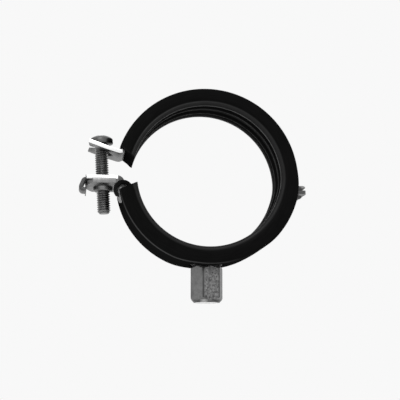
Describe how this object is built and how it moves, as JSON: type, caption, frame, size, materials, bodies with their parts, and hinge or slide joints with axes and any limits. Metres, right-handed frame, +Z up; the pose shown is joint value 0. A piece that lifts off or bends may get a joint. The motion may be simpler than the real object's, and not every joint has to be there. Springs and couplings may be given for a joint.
{
  "type": "rubber lined pipe clamp",
  "caption": "Two hinged steel half rings with a ribbed rubber lining, closed by one side screw, with a welded threaded connection nut below.",
  "frame": {"origin": "centre of the lower half's bore, halfway along its width", "axes": "+Y along the pipe, away from the viewer; +Z up, away from the connection nut; the screw is on the -X side and the hinge on the +X side"},
  "size_m": [0.1007, 0.024, 0.0938],
  "materials": {
    "zinc_steel": "zinc plated, satin",
    "screw_steel": "zinc plated, smooth",
    "nut_steel": "zinc plated, spangled",
    "rubber": "matt black with a dull sheen"
  },
  "bodies": {
    "lower_half": {"lower_band": "zinc_steel", "lower_lining": "rubber", "nut_plate": "zinc_steel", "connection_nut": "nut_steel"},
    "upper_half": {"upper_band": "zinc_steel", "upper_lining": "rubber"},
    "screw": {"closing_screw": "screw_steel"}
  },
  "joints": [
    {"name": "band_hinge", "type": "hinge", "parent": "lower_half", "child": "upper_half", "pos_m": [0.0417, 0, -0.00515], "axis": [0, 1, 0], "range_deg": [-4.3, 6.5]},
    {"name": "screw_travel", "type": "slide", "parent": "lower_half", "child": "screw", "axis": [-0.0576, 0, 0.9983], "range_m": [-0.0075, 0.0115]}
  ],
  "couplings": [
    {"joint": "screw_travel", "follows": "band_hinge", "m_per_rad": 0.0925}
  ]
}
